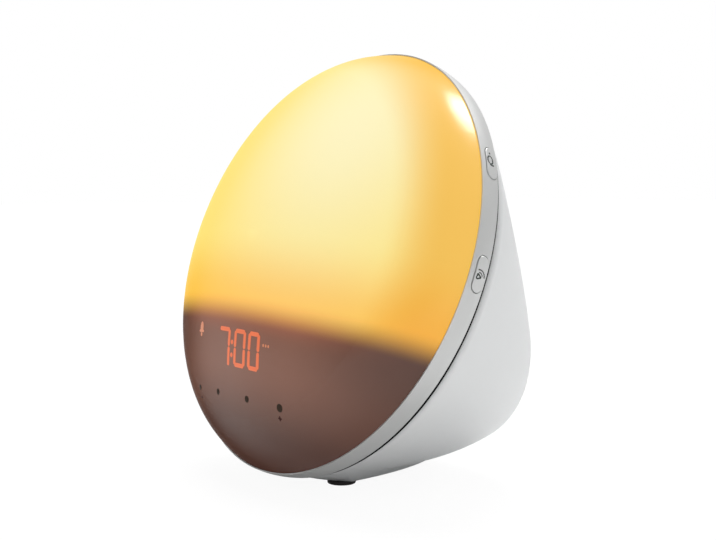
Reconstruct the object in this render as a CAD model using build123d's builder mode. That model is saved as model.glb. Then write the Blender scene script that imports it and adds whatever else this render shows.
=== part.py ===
from build123d import *
import os
from math import cos, hypot, radians, sin, sqrt

# Sunrise alarm clock: a round domed light leaning back on a rounded, cone-like housing.
# Millimetres, +Z up, the light faces -Y, origin on the table under the middle of the whole clock.
# Most pieces are built on the face plane: x to the right, y up the leaning face, z out of it.
# "height" below means distance out of that plane; behind the face it is negative.

# ------------------------------------------------------------------ driving dimensions
lean = 20.3  # degrees that the face leans back from upright
ring_radius = 96.5  # widest radius of the trim ring
rim_clearance = 4.25  # from the table to the housing's lowest point at the seam
rear_reach = 68.0  # from the middle of the face back to the flat rear wall
fit_gap = 0.2  # between pieces that are pushed together
run_gap = 0.3  # around pieces that travel
screw_radius = 1.25
head_radius = 2.6
head_height = 1.8

# trim ring
ring_depth = 10.0
ring_wall = 2.3
ring_lip = 0.5  # edge seen around the diffuser
ring_front_draft = 0.1
ring_rear_draft = 1.4
seat_depth = 1.2  # depth of the ring's seat for the diffuser
seam_gap = 0.8  # shadow gap between the ring and the rear housing

# diffuser: a shallow crown that turns into a tighter shoulder near the rim
diffuser_wall = 2.2
shoulder_radius = 36.1
rim_angle = 71.0  # slope of the dome at its rim
crown_angle = 25.6  # slope where the crown meets the shoulder
clip_width = 8.0
clip_wall = 1.5
clip_top = 5.0
clip_bottom = -7.0
hook_height = 1.8
hook_depth = 0.9

# rim buttons, two on each side
button_angles = {"right_lower": 0, "right_upper": 28, "left_lower": 180, "left_upper": 152}
button_length = 14.5
button_width = 5.8
button_height = -5.4
button_proud = 0.35
button_edge = 0.3
button_travel = 0.6
flange_length = 18.0
flange_width = 5.0
flange_wall = 1.2
switch_size = (6.0, 3.8, 3.1)
plunger_radius = 1.5
plunger_out = 1.0  # plunger seen above the switch
plunger_in = 1.0  # plunger held inside the switch
key_board_size = (13.0, 5.4)
board_wall = 1.0

# inner frame
frame_wall = 1.8
plate_wall = 1.5
plate_width = 20.2  # from the frame's wall in to the plate's opening
boss_inset = 13.2
boss_radius = 4.0
housing_screw_angles = (45, 135, 225, 315)
reflector_post_inset = 16.2
reflector_screw_angles = (62, 118, 190, 350)
post_radius = 3.0

# light chamber: the bowl's section, as inset from the frame's wall and height
bowl_wall = 1.6
bowl_rim = (2.4, 2.0)
bowl_flat_outer = (11.2, -0.5)
bowl_flat_inner = (21.2, -0.5)
bowl_waist = (30.2, -12.0)
bowl_floor = (48.2, -30.0)
bowl_bend = 4.0
baffle_wall = 1.5
light_gap = 2.0  # between the baffle's edge and the diffuser
led_board_margin = 14.0
led_board_wall = 1.6
led_size = (3.5, 2.8, 1.0)
led_counts = (12, 8, 3)
led_places = (0.8, 0.48, 0.17)  # parts of the board's radius

# display behind the lower part of the diffuser
touch_inset = 26.7  # from the dome's rim up to the row of touch keys
display_rise = 19.5  # from the touch keys up to the middle of the display
baffle_rise = 16.5  # from the middle of the display up to the chord that ends the glow
display_slope = 16.5  # degrees that the display is more upright than the face
display_depth = 2.6  # behind the diffuser's inner surface
module_size = (54.0, 19.0, 7.0)
display_board_size = (62.0, 23.0, 1.6)
digit_height = 14.5
digit_width = 8.0
digit_stroke = 1.5
digit_pitch = 10.2
colon_half = 5.0  # from the middle of the display to the digits beside the colon
digit_relief = 0.4
tray_height = 4.0
tray_wall = 1.6
tray_inset = 8.2
tray_cut = 2.0  # flat at the tray's lowest point
tray_leg_angles = (212, 250, 290, 328)
cheek_wall = 2.0
cheek_place = 27.0
touch_places = (-31.6, -11.6, 11.6, 31.6)
touch_board_size = (80.0, 9.0, 1.2)
touch_board_height = 10.0
touch_pad_radius = 2.5

# electronics behind the reflector
main_board_size = (96.0, 54.0, 1.6)
main_board_middle = -7.0
standoff = 6.4
main_board_screws = ((-30, 12), (30, 12), (-30, -26), (30, -26))
capacitor_radius = 5.5
tuner_size = (24.0, 18.0, 3.2)
tuner_place = (-20.0, -4.0)
# each chip's place, size and thickness
chip_list = (
    ((8.0, 2.0), (14.0, 14.0), 1.6),
    ((8.0, -20.0), (9.0, 6.0), 1.4),
    ((-8.0, -24.0), (6.0, 5.0), 1.4),
)

# rear housing: ovals from the seam to the flat back, each as inset from the ring's radius,
# and how much fuller its lower half is than an ellipse
housing_wall = 3.2
lip_wall = 6.0  # wall at the seam
seam_inset = 1.5
middle_back = 41.4  # middle section, back from and below the middle of the face
middle_drop = 22.4
middle_inset = (16.5, 24.1)
middle_fullness = 0.04
back_drop = 42.3
back_inset = (35.4, 52.5)
back_fullness = 0.045
back_wall = 2.5
back_round = 9.0
seam_round = 3.5

# plinth under the housing: outlines at its foot and at its hidden top, each as half width in
# front, then half width and distance back at its side and rear; the widths are parts of the
# ring's radius
plinth_height = 1.8
plinth_top = 16.0
plinth_front = -13.0  # where its front comes down, from the middle of the face
plinth_low = (0.249, (0.228, 14.0), (0.093, 54.0))
plinth_high = (0.483, (0.466, 14.0), (0.28, 50.0))
plinth_corner = 2.0
plinth_edge = 0.5
foot_span = 40.0  # how far in front of the middle of the face the outlines start
rear_turn = 0.6  # how fast the sides close at the rear
rear_bulge = 0.5

# feet
foot_radius = 6.2
foot_place = (0.166, -1.8)  # its half spacing as a part of the ring's radius
rear_foot_size = (16.0, 7.0)
rear_foot_place = 42.0
spigot_radius = 2.4
spigot_length = 3.0

# back wall fittings, measured from the middle of the back
grille_pitch = 5.5
grille_counts = (1, 6, 12, 18)
grille_hole = 1.2
speaker_flange = 50.0
speaker_cone_radius = 20.0
speaker_gasket_wall = 1.5
speaker_screw_place = 20.5
speaker_screw_bite = 1.3
magnet_radius = 15.0
jack_inset = (23.1, -14.0)  # from the back's side, and from its middle
jack_size = (10.0, 11.0, 12.0)
jack_nose = 4.1
jack_bore = 2.8
jack_bore_depth = 9.5
jack_pin_radius = 1.0
grommet_flange = 4.0
grommet_neck = 2.6
grommet_bore = 1.0
grommet_flange_wall = 1.1

# ------------------------------------------------------------------ derived places
tilt, rim, crown = radians(lean), radians(rim_angle), radians(crown_angle)
far = 3 * ring_radius  # longer than the whole clock
seam = -ring_depth - seam_gap
housing_radius = ring_radius - seam_inset
middle_half = (ring_radius - middle_inset[0], ring_radius - middle_inset[1])
back_half = (ring_radius - back_inset[0], ring_radius - back_inset[1])
jack_place = (back_half[0] - jack_inset[0], jack_inset[1])
foot_x = foot_place[0] * ring_radius
face_height = rim_clearance + housing_radius * cos(tilt) - seam * sin(tilt)
ring_inner = ring_radius - ring_wall
rim_radius = ring_radius - ring_front_draft - ring_lip - fit_gap
crown_reach = rim_radius - shoulder_radius * (sin(rim) - sin(crown))
crown_radius = crown_reach / sin(crown)
shoulder_middle = (crown_reach - shoulder_radius * sin(crown), -shoulder_radius * cos(rim))
crown_middle = shoulder_middle[1] + shoulder_radius * cos(crown) - crown_radius * cos(crown)
if lean < crown_angle:
    front_reach = crown_middle * cos(tilt) + crown_radius
else:
    front_reach = shoulder_middle[0] * sin(tilt) + shoulder_middle[1] * cos(tilt) + shoulder_radius
face_y = (front_reach - rear_reach) / 2

face = Plane(origin=(0, face_y, face_height), x_dir=(1, 0, 0), z_dir=(0, -cos(tilt), sin(tilt)))
profile = Plane(origin=face.origin, x_dir=(1, 0, 0), z_dir=(0, -sin(tilt), -cos(tilt)))
face_axis = Axis(face.origin, face.z_dir)

frame_outer = ring_inner - fit_gap
frame_inner = frame_outer - frame_wall
frame_top = -seat_depth - fit_gap
plate_low = -ring_depth
plate_top = plate_low + plate_wall
plate_opening = frame_inner - plate_width
boss_circle = frame_inner - boss_inset
tray_leg_circle = boss_circle
reflector_post_circle = frame_inner - reflector_post_inset
clip_outer = frame_inner - run_gap
tray_radius = frame_inner - tray_inset
tray_low = tray_cut - tray_radius
tray_top = tray_height + tray_wall
touch_row = touch_inset - rim_radius
display_middle = touch_row + display_rise
baffle_top = display_middle + baffle_rise


def rim_plane(angle, radius, height):
    """A plane facing out of the rim: x along the rim, y towards the front."""
    turn = radians(angle)
    out = face.x_dir * cos(turn) + face.y_dir * sin(turn)
    along = face.y_dir * cos(turn) - face.x_dir * sin(turn)
    return Plane(origin=face.origin + out * radius + face.z_dir * height, x_dir=along, z_dir=out)


def on_circle(radius, angles):
    """Points on the face plane at the given angles."""
    return [(radius * cos(radians(a)), radius * sin(radians(a))) for a in angles]


def dome_height(radius, depth=0.0):
    """Height of the diffuser's outer surface, or of one that lies depth inside it."""
    if radius < crown_reach - depth * sin(crown):
        return crown_middle + sqrt((crown_radius - depth) ** 2 - radius**2)
    return shoulder_middle[1] + sqrt((shoulder_radius - depth) ** 2 - (radius - shoulder_middle[0]) ** 2)


def dome_arcs(depth):
    """Draws crown and shoulder, depth inside the outer surface. Returns the curve's two ends."""
    CenterArc((0, crown_middle), crown_radius - depth, 90, -crown_angle)
    CenterArc(shoulder_middle, shoulder_radius - depth, 90 - crown_angle, crown_angle - rim_angle)
    low = (
        shoulder_middle[0] + (shoulder_radius - depth) * sin(rim),
        shoulder_middle[1] + (shoulder_radius - depth) * cos(rim),
    )
    return (0, crown_middle + crown_radius - depth), low


def save(part, label):
    """Names the finished piece and writes it as its own file."""
    part.part.label = label
    export_step(part.part, f"parts/{label}.step")


def save_screws(label, plane, places, length):
    """Saves a set of pan-head screws: heads on the plane, shanks behind it."""
    with BuildPart() as screws:
        with BuildSketch(plane):
            with Locations(*places):
                Circle(head_radius)
        extrude(amount=head_height)
        with BuildSketch(plane):
            with Locations(*places):
                Circle(screw_radius)
        extrude(amount=-length)
    save(screws, label)


os.makedirs("parts", exist_ok=True)

# ------------------------------------------------------------------ front diffuser
clip_angles = [a for a in range(0, 360, 30) if a not in (0, 30, 150, 180)]

with BuildPart() as front_diffuser:
    with BuildSketch(profile):
        with BuildLine():
            outer_top, outer_low = dome_arcs(0)
            inner_top, inner_low = dome_arcs(diffuser_wall)
            Line(outer_top, inner_top)
            Polyline(outer_low, (outer_low[0], -seat_depth), (inner_low[0], -seat_depth), inner_low)
        make_face()
    revolve(axis=face_axis)
    for angle in clip_angles:
        with BuildSketch(rim_plane(angle, clip_outer - clip_wall, (clip_top + clip_bottom) / 2)):
            Rectangle(clip_width, clip_top - clip_bottom)
        extrude(amount=clip_wall)
        with BuildSketch(rim_plane(angle, clip_outer, clip_bottom + hook_height / 2)):
            Rectangle(clip_width, hook_height)
        extrude(amount=hook_depth)
save(front_diffuser, "front_diffuser")

# ------------------------------------------------------------------ trim ring
with BuildPart() as trim_ring:
    with BuildSketch(profile):
        with BuildLine():
            front = (ring_radius - ring_front_draft, 0)
            rear = (ring_radius - ring_rear_draft, -ring_depth)
            shoulder = (ring_radius - 0.4 * ring_rear_draft, -ring_depth * 0.92)
            ThreePointArc(front, (ring_radius, -ring_depth * 0.55), shoulder)
            Polyline(
                shoulder,
                rear,
                (ring_inner, -ring_depth),
                (ring_inner, -seat_depth),
                (rim_radius + fit_gap, -seat_depth),
                (rim_radius + fit_gap, 0),
                front,
            )
        make_face()
    revolve(axis=face_axis)
    for angle in button_angles.values():
        with BuildSketch(rim_plane(angle, ring_inner - 1, button_height)):
            SlotOverall(button_length + 2 * run_gap, button_width + 2 * run_gap)
        extrude(amount=ring_wall + 2, mode=Mode.SUBTRACT)
save(trim_ring, "trim_ring")

# ------------------------------------------------------------------ inner frame
flange_outer = sqrt((frame_inner - fit_gap) ** 2 - (flange_length / 2) ** 2)
switch_top = flange_outer - flange_wall - plunger_out
key_board_outer = switch_top - switch_size[2]
key_board_inner = key_board_outer - board_wall
post_wall = 1.5

with BuildPart() as inner_frame:
    with BuildSketch(profile):
        with BuildLine():
            Polyline(
                (frame_outer, frame_top),
                (frame_outer, plate_low),
                (plate_opening, plate_low),
                (plate_opening, plate_top),
                (frame_inner, plate_top),
                (frame_inner, frame_top),
                close=True,
            )
        make_face()
    revolve(axis=face_axis)
    # a rib that closes the seam, seats for the housing's bosses, and posts for the reflector
    with BuildSketch(face.offset(plate_low)):
        Circle(housing_radius - seam_round)
        Circle(housing_radius - lip_wall, mode=Mode.SUBTRACT)
        with Locations(*on_circle(boss_circle, housing_screw_angles)):
            Circle(boss_radius)
    extrude(amount=-seam_gap)
    with BuildSketch(face.offset(plate_top)):
        with Locations(*on_circle(reflector_post_circle, reflector_screw_angles)):
            Circle(post_radius)
    extrude(amount=bowl_flat_outer[1] - bowl_wall - plate_top)
    # posts behind the key boards, then the slots for the buttons
    for angle in button_angles.values():
        with BuildSketch(rim_plane(angle, key_board_inner - post_wall, button_height)):
            with Locations((0, (plate_top - button_height - key_board_size[1] / 2) / 2)):
                Rectangle(key_board_size[0], 2 * abs(plate_top - button_height) * 0.9)
        extrude(amount=post_wall)
        with BuildSketch(rim_plane(angle, frame_inner - 1, button_height)):
            SlotOverall(button_length + 2 * run_gap, button_width + 2 * run_gap)
        extrude(amount=frame_wall + 2, mode=Mode.SUBTRACT)
    # windows for the diffuser's hooks
    for angle in clip_angles:
        with BuildSketch(rim_plane(angle, frame_inner - 1, clip_bottom + hook_height / 2)):
            Rectangle(clip_width + 2 * run_gap, hook_height + 2 * run_gap)
        extrude(amount=frame_wall + 2, mode=Mode.SUBTRACT)
    # screw holes
    with BuildSketch(face.offset(plate_low - seam_gap)):
        with Locations(*on_circle(boss_circle, housing_screw_angles)):
            Circle(screw_radius + fit_gap)
        with Locations(*on_circle(tray_leg_circle, tray_leg_angles)):
            Circle(screw_radius + fit_gap)
        with Locations(*on_circle(reflector_post_circle, reflector_screw_angles)):
            Circle(screw_radius + fit_gap)
    extrude(amount=ring_depth + seam_gap, mode=Mode.SUBTRACT)
save(inner_frame, "inner_frame")

# ------------------------------------------------------------------ rim buttons
for name, angle in button_angles.items():
    flange_plane = rim_plane(angle, flange_outer - flange_wall, button_height)
    with BuildPart() as button:
        with BuildSketch(flange_plane):
            SlotOverall(button_length, button_width)
        extrude(amount=10)
        # the cap follows the ring's outer surface, a little proud of it
        with BuildSketch(profile):
            with BuildLine():
                cap_top = (ring_radius - ring_front_draft + button_proud, 0)
                cap_low = (ring_radius - 0.4 * ring_rear_draft + button_proud, -ring_depth * 0.92)
                ThreePointArc(cap_top, (ring_radius + button_proud, -ring_depth * 0.55), cap_low)
                Polyline(cap_low, (plate_opening, cap_low[1]), (plate_opening, 0), cap_top)
            make_face()
        revolve(axis=face_axis, mode=Mode.INTERSECT)
        fillet(button.faces().sort_by(Axis(face.origin, flange_plane.z_dir))[-1].edges(), button_edge)
        with BuildSketch(flange_plane):
            SlotOverall(flange_length, flange_width)
        extrude(amount=flange_wall)
    save(button, f"button_{name}")
    with BuildPart() as plunger:
        with BuildSketch(flange_plane):
            Circle(plunger_radius)
        extrude(amount=-plunger_out - plunger_in)
    save(plunger, f"plunger_{name}")

with BuildPart() as key_boards:
    for angle in button_angles.values():
        with BuildSketch(rim_plane(angle, key_board_inner, button_height)):
            Rectangle(*key_board_size)
        extrude(amount=board_wall)
save(key_boards, "key_boards")

with BuildPart() as tact_switches:
    for angle in button_angles.values():
        with BuildSketch(rim_plane(angle, key_board_outer, button_height)):
            Rectangle(switch_size[0], switch_size[1])
        extrude(amount=switch_size[2])
        with BuildSketch(rim_plane(angle, switch_top, button_height)):
            Circle(plunger_radius + 0.1)
        extrude(amount=-plunger_in - button_travel - 0.1, mode=Mode.SUBTRACT)
save(tact_switches, "tact_switches")

# ------------------------------------------------------------------ light chamber
bowl_corners = (bowl_rim, bowl_flat_outer, bowl_flat_inner, bowl_waist, bowl_floor)
bowl_upper = [(frame_inner - inset, height) for inset, height in bowl_corners] + [(0, bowl_floor[1])]
bowl_lower = [(r, h - bowl_wall) for r, h in bowl_upper]

with BuildPart() as reflector_bowl:
    with BuildSketch(profile):
        with BuildLine():
            FilletPolyline(*bowl_upper, radius=bowl_bend)
            FilletPolyline(*bowl_lower, radius=bowl_bend)
            Line(bowl_upper[0], bowl_lower[0])
            Line(bowl_upper[-1], bowl_lower[-1])
        make_face()
    revolve(axis=face_axis)
    with BuildSketch(face.offset(bowl_lower[-1][1])):
        with Locations(*main_board_screws):
            Circle(post_radius)
    extrude(amount=-standoff)
    with BuildSketch(face.offset(bowl_lower[-1][1] - standoff)):
        with Locations(*main_board_screws):
            Circle(screw_radius)
    extrude(amount=standoff - 0.5, mode=Mode.SUBTRACT)
    with BuildSketch(face.offset(bowl_flat_outer[1])):
        with Locations(*on_circle(reflector_post_circle, reflector_screw_angles)):
            Circle(screw_radius + fit_gap)
    extrude(amount=-bowl_wall, mode=Mode.SUBTRACT)
    # the bowl ends at the chord, where the baffle closes the chamber
    with BuildSketch(face.offset(-far / 2)):
        with Locations((0, baffle_top - far / 2)):
            Rectangle(far, far)
    extrude(amount=far, mode=Mode.SUBTRACT)
save(reflector_bowl, "reflector_bowl")

with BuildPart() as light_baffle:
    with BuildSketch(profile):
        with BuildLine():
            top, low = dome_arcs(diffuser_wall + light_gap)
            Polyline(low, (low[0], -far / 2), (0, -far / 2), top)
        make_face()
    revolve(axis=face_axis)
    with BuildSketch(profile):
        with BuildLine():
            FilletPolyline(*bowl_lower, radius=bowl_bend)
            Polyline(bowl_lower[0], (bowl_lower[0][0], far / 2), (0, far / 2), bowl_lower[-1])
        make_face()
    revolve(axis=face_axis, mode=Mode.INTERSECT)
    with BuildSketch(face.offset(-far / 2)):
        with Locations((0, baffle_top - baffle_wall / 2)):
            Rectangle(far, baffle_wall)
    extrude(amount=far, mode=Mode.INTERSECT)
save(light_baffle, "light_baffle")

led_board_radius = bowl_upper[-2][0] - led_board_margin

with BuildPart() as led_board:
    with BuildSketch(face.offset(bowl_floor[1])):
        Circle(led_board_radius)
    extrude(amount=led_board_wall)
save(led_board, "led_board")

with BuildPart() as led_array:
    with BuildSketch(face.offset(bowl_floor[1] + led_board_wall)):
        for place, count in zip(led_places, led_counts):
            with PolarLocations(place * led_board_radius, count):
                Rectangle(led_size[0], led_size[1])
    extrude(amount=led_size[2])
save(led_array, "led_array")

reflector_places = on_circle(reflector_post_circle, reflector_screw_angles)
boss_places = on_circle(boss_circle, housing_screw_angles)
save_screws("reflector_screws", face.offset(bowl_flat_outer[1]), reflector_places, bowl_wall + 5.0)
save_screws("housing_screws", face.offset(plate_top), boss_places, plate_wall + seam_gap + 8.0)

# ------------------------------------------------------------------ display
slope = radians(display_slope)
module_height = dome_height(abs(display_middle), diffuser_wall) - display_depth
display_out = face.z_dir * cos(slope) - face.y_dir * sin(slope)
display_plane = Plane(
    origin=face.origin + face.y_dir * display_middle + face.z_dir * module_height,
    x_dir=(1, 0, 0),
    z_dir=display_out,
)
digit_places = [side * (colon_half + step * digit_pitch + digit_width / 2 - 3.2) for side, step in
                ((-1, 1), (-1, 0), (1, 0), (1, 1))]
# segments a to g: place and size in units of half the digit's width and height
segment_places = {
    "a": (0, 1, True),
    "b": (1, 0.5, False),
    "c": (1, -0.5, False),
    "d": (0, -1, True),
    "e": (-1, -0.5, False),
    "f": (-1, 0.5, False),
    "g": (0, 0, True),
}
shown = ("", "abc", "abcdef", "abcdef")


def draw_segment(middle, key):
    """One bar of a seven-segment digit, in the current sketch."""
    across, up, flat = segment_places[key]
    half_width = (digit_width - digit_stroke) / 2
    half_height = (digit_height - digit_stroke) / 2
    bar = 2 * half_width - digit_stroke - 0.4 if flat else half_height - digit_stroke - 0.4
    size = (bar, digit_stroke) if flat else (digit_stroke, bar)
    with Locations((middle + across * half_width, up * half_height)):
        Rectangle(*size)


with BuildPart() as display_module:
    with BuildSketch(display_plane):
        Rectangle(module_size[0], module_size[1])
    extrude(amount=-module_size[2])
    with BuildSketch(display_plane):
        for middle in digit_places:
            for key in segment_places:
                draw_segment(middle, key)
    extrude(amount=-digit_relief, mode=Mode.SUBTRACT)
save(display_module, "display_module")

with BuildPart() as display_segments:
    with BuildSketch(display_plane.offset(-digit_relief)):
        for middle, keys in zip(digit_places, shown):
            for key in keys:
                draw_segment(middle, key)
    extrude(amount=digit_relief)
save(display_segments, "display_segments")

with BuildPart() as display_board:
    with BuildSketch(display_plane.offset(-module_size[2])):
        Rectangle(display_board_size[0], display_board_size[1])
    extrude(amount=-display_board_size[2])
save(display_board, "display_board")

board_back = module_size[2] + display_board_size[2]


def behind_board(along):
    """Face-plane height and y of a point on the display board's back, along the board."""
    y = display_middle + board_back * sin(slope) + along * cos(slope)
    return y, module_height - board_back * cos(slope) + along * sin(slope)


with BuildPart() as display_tray:
    with BuildSketch(face.offset(tray_height)):
        Circle(tray_radius)
        tray_span = baffle_top - baffle_wall - run_gap - tray_low
        with Locations((0, tray_low + tray_span / 2)):
            Rectangle(far, tray_span, mode=Mode.INTERSECT)
    extrude(amount=tray_wall)
    with BuildSketch(face.offset(plate_top)):
        with Locations(*on_circle(tray_leg_circle, tray_leg_angles)):
            Circle(post_radius)
    extrude(amount=tray_height - plate_top)
    # cheeks that carry the display board at its own slope
    for side in (-1, 1):
        cheek = Plane(
            origin=face.origin + face.x_dir * (side * cheek_place - cheek_wall / 2),
            x_dir=face.y_dir,
            z_dir=face.x_dir,
        )
        with BuildSketch(cheek):
            with BuildLine():
                reach = display_board_size[1] / 2
                low_end, high_end = behind_board(-reach), behind_board(reach)
                Polyline(low_end, high_end, (high_end[0], tray_top), (low_end[0], tray_top), close=True)
            make_face()
        extrude(amount=cheek_wall)
    # posts under the touch board
    with BuildSketch(face.offset(tray_top)):
        with Locations(*[(x, touch_row) for x in touch_places]):
            Circle(touch_pad_radius)
    extrude(amount=touch_board_height - tray_top)
    with BuildSketch(face.offset(plate_top)):
        with Locations(*on_circle(tray_leg_circle, tray_leg_angles)):
            Circle(screw_radius)
    extrude(amount=9.0, mode=Mode.SUBTRACT)
save(display_tray, "display_tray")

under_plate = Plane(origin=face.offset(plate_low).origin, x_dir=(1, 0, 0), z_dir=-face.z_dir)
leg_places = [(x, -y) for x, y in on_circle(tray_leg_circle, tray_leg_angles)]
save_screws("tray_screws", under_plate, leg_places, plate_wall + 7.0)

with BuildPart() as touch_board:
    with BuildSketch(face.offset(touch_board_height)):
        with Locations((0, touch_row)):
            Rectangle(touch_board_size[0], touch_board_size[1])
    extrude(amount=touch_board_size[2])
save(touch_board, "touch_board")

with BuildPart() as touch_pads:
    for x in touch_places:
        reach = hypot(x, touch_row) + touch_pad_radius
        with BuildSketch(face.offset(touch_board_height + touch_board_size[2])):
            with Locations((x, touch_row)):
                Circle(touch_pad_radius)
        extrude(amount=dome_height(reach, diffuser_wall) - touch_board_height - touch_board_size[2] - fit_gap)
save(touch_pads, "touch_pads")

# ------------------------------------------------------------------ main board
board_top = bowl_lower[-1][1] - standoff
board_under = board_top - main_board_size[2]

with BuildPart() as main_board:
    with BuildSketch(face.offset(board_top)):
        with Locations((0, main_board_middle)):
            Rectangle(main_board_size[0], main_board_size[1])
        with Locations(*main_board_screws):
            Circle(screw_radius + fit_gap, mode=Mode.SUBTRACT)
    extrude(amount=-main_board_size[2])
save(main_board, "main_board")

behind_main = Plane(origin=face.offset(board_under).origin, x_dir=(1, 0, 0), z_dir=-face.z_dir)
board_places = [(x, -y) for x, y in main_board_screws]
save_screws("board_screws", behind_main, board_places, main_board_size[2] + 5.0)

with BuildPart() as control_chips:
    for place, size, thick in chip_list:
        with BuildSketch(face.offset(board_under)):
            with Locations(place):
                Rectangle(*size)
        extrude(amount=-thick)
save(control_chips, "control_chips")

with BuildPart() as radio_tuner:
    with BuildSketch(face.offset(board_under)):
        with Locations(tuner_place):
            RectangleRounded(tuner_size[0], tuner_size[1], 1)
    extrude(amount=-tuner_size[2])
save(radio_tuner, "radio_tuner")

with BuildPart() as backup_capacitor:
    with BuildSketch(face.offset(board_under)):
        with Locations((main_board_size[0] / 2 - 9, -4)):
            Circle(capacitor_radius)
    extrude(amount=-capacitor_radius)
    fillet(backup_capacitor.faces().sort_by(face_axis)[0].edges(), 0.8)
save(backup_capacitor, "backup_capacitor")

# ------------------------------------------------------------------ rear housing
back_y = face_y + rear_reach
back_z = face_height - back_drop


def oval(half_width, half_height, fullness):
    """Points round an ellipse whose lower half swells towards its corners."""
    points = []
    for turn in [radians(22.5 * step) for step in range(16)]:
        swell = 1 + fullness * sin(2 * turn) ** 2 if sin(turn) < 0 else 1
        points.append((half_width * swell * cos(turn), half_height * swell * sin(turn)))
    return points


def housing_shape(lip, shrink, back_shrink):
    """The housing's solid shape: three ovals from the seam to the back, each on its own plane."""
    middle = Plane(
        origin=(0, face_y + middle_back, face_height - middle_drop),
        x_dir=(1, 0, 0),
        z_dir=(0, -cos(tilt / 2), sin(tilt / 2)),
    )
    back = Plane(origin=(0, back_y - back_shrink, back_z), x_dir=(1, 0, 0), z_dir=(0, -1, 0))
    with BuildPart() as shape:
        for plane, (half_width, half_height), trim, fullness in (
            (face.offset(seam), (housing_radius, housing_radius), lip, 0),
            (middle, middle_half, shrink, middle_fullness),
            (back, back_half, shrink, back_fullness),
        ):
            with BuildSketch(plane):
                with BuildLine():
                    Spline(*oval(half_width - trim, half_height - trim, fullness), periodic=True)
                make_face()
        loft()
        if shrink == 0:
            fillet(shape.faces().sort_by(Axis.Y)[-1].edges(), back_round)
            fillet(shape.faces().sort_by(face_axis)[-1].edges(), seam_round)
    return shape.part


def plinth_shape():
    """The plinth: a loft between two outlines, cut in front by a cone that starts at the seam."""
    start_radius = housing_radius - fit_gap
    front_drop = plinth_height - face_height
    front_radius = -plinth_front * sin(tilt) - front_drop * cos(tilt)
    front_depth = -plinth_front * cos(tilt) + front_drop * sin(tilt)
    draft = (start_radius - front_radius) / (seam - front_depth)
    with BuildPart() as shape:
        for height, outline in ((plinth_height, plinth_low), (plinth_top, plinth_high)):
            front_part, (side_part, side_y), (rear_part, rear_y) = outline
            front_x, side_x, rear_x = [part * ring_radius for part in (front_part, side_part, rear_part)]
            with BuildSketch(Plane.XY.offset(height)):
                with BuildLine():
                    front, side, rear = face_y - foot_span, face_y + side_y, face_y + rear_y
                    Spline(
                        (front_x, front), (side_x, side), (rear_x, rear), tangents=((0, 1), (-rear_turn, 1))
                    )
                    Spline(
                        (rear_x, rear),
                        (0, rear + rear_bulge * rear_x),
                        (-rear_x, rear),
                        tangents=((-rear_turn, 1), (-rear_turn, -1)),
                    )
                    Spline(
                        (-rear_x, rear),
                        (-side_x, side),
                        (-front_x, front),
                        tangents=((-rear_turn, -1), (0, -1)),
                    )
                    Line((-front_x, front), (front_x, front))
                make_face()
        loft()
        with BuildSketch(profile):
            with BuildLine():
                FilletPolyline(
                    (0, seam),
                    (start_radius, seam),
                    (start_radius - draft * far, seam - far),
                    (0, seam - far),
                    radius=seam_round,
                )
                Line((0, seam - far), (0, seam))
            make_face()
        revolve(axis=face_axis, mode=Mode.INTERSECT)
        corners = [
            edge
            for edge in shape.edges()
            if edge.bounding_box().size.Z > (plinth_top - plinth_height) / 2
            and edge.bounding_box().max.Y < face_y + side_y
        ]
        fillet(corners, plinth_corner)
        fillet(shape.faces().sort_by(Axis.Z)[0].edges(), plinth_edge)
    return shape.part


housing_outside = housing_shape(0, 0, 0)
housing_inside = housing_shape(lip_wall, housing_wall, back_wall)
plinth = plinth_shape()

with BuildPart() as cavity:
    add(housing_inside)
    with BuildSketch(face.offset(seam)):
        with Locations(*on_circle(boss_circle, housing_screw_angles)):
            Circle(boss_radius)
    extrude(amount=-90, mode=Mode.SUBTRACT)

with BuildPart() as rear_housing:
    add(housing_outside)
    add(plinth)
    add(cavity.part, mode=Mode.SUBTRACT)
    # speaker grille, jack and aerial holes
    outside = Plane(origin=(0, back_y, back_z), x_dir=(-1, 0, 0), z_dir=(0, 1, 0))
    with BuildSketch(outside):
        for step, count in enumerate(grille_counts):
            with PolarLocations(step * grille_pitch, count):
                Circle(grille_hole)
        with Locations(jack_place):
            Circle(jack_nose + fit_gap)
        with Locations((-jack_place[0], jack_place[1])):
            Circle(grommet_neck + 0.05)
    extrude(amount=-back_wall - 1, mode=Mode.SUBTRACT)
    with BuildSketch(outside):
        with Locations((-jack_place[0], jack_place[1])):
            Circle(grommet_flange + fit_gap)
    extrude(amount=-grommet_flange_wall, mode=Mode.SUBTRACT)
    # bosses for the speaker's screws
    with BuildSketch(outside.offset(-back_wall)):
        with GridLocations(2 * speaker_screw_place, 2 * speaker_screw_place, 2, 2):
            Circle(2.6)
    extrude(amount=-speaker_gasket_wall)
    with BuildSketch(outside.offset(-back_wall - speaker_gasket_wall)):
        with GridLocations(2 * speaker_screw_place, 2 * speaker_screw_place, 2, 2):
            Circle(screw_radius)
    extrude(amount=speaker_gasket_wall + speaker_screw_bite, mode=Mode.SUBTRACT)
    # pilot holes for the housing's screws and sockets for the feet
    with BuildSketch(face.offset(seam)):
        with Locations(*on_circle(boss_circle, housing_screw_angles)):
            Circle(screw_radius)
    extrude(amount=-8.5, mode=Mode.SUBTRACT)
    with BuildSketch(Plane.XY.offset(plinth_height)):
        with Locations(
            (foot_x, face_y + foot_place[1]),
            (-foot_x, face_y + foot_place[1]),
            (0, face_y + rear_foot_place),
        ):
            Circle(spigot_radius + 0.05)
    extrude(amount=spigot_length + 0.3, mode=Mode.SUBTRACT)
save(rear_housing, "rear_housing")

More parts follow.
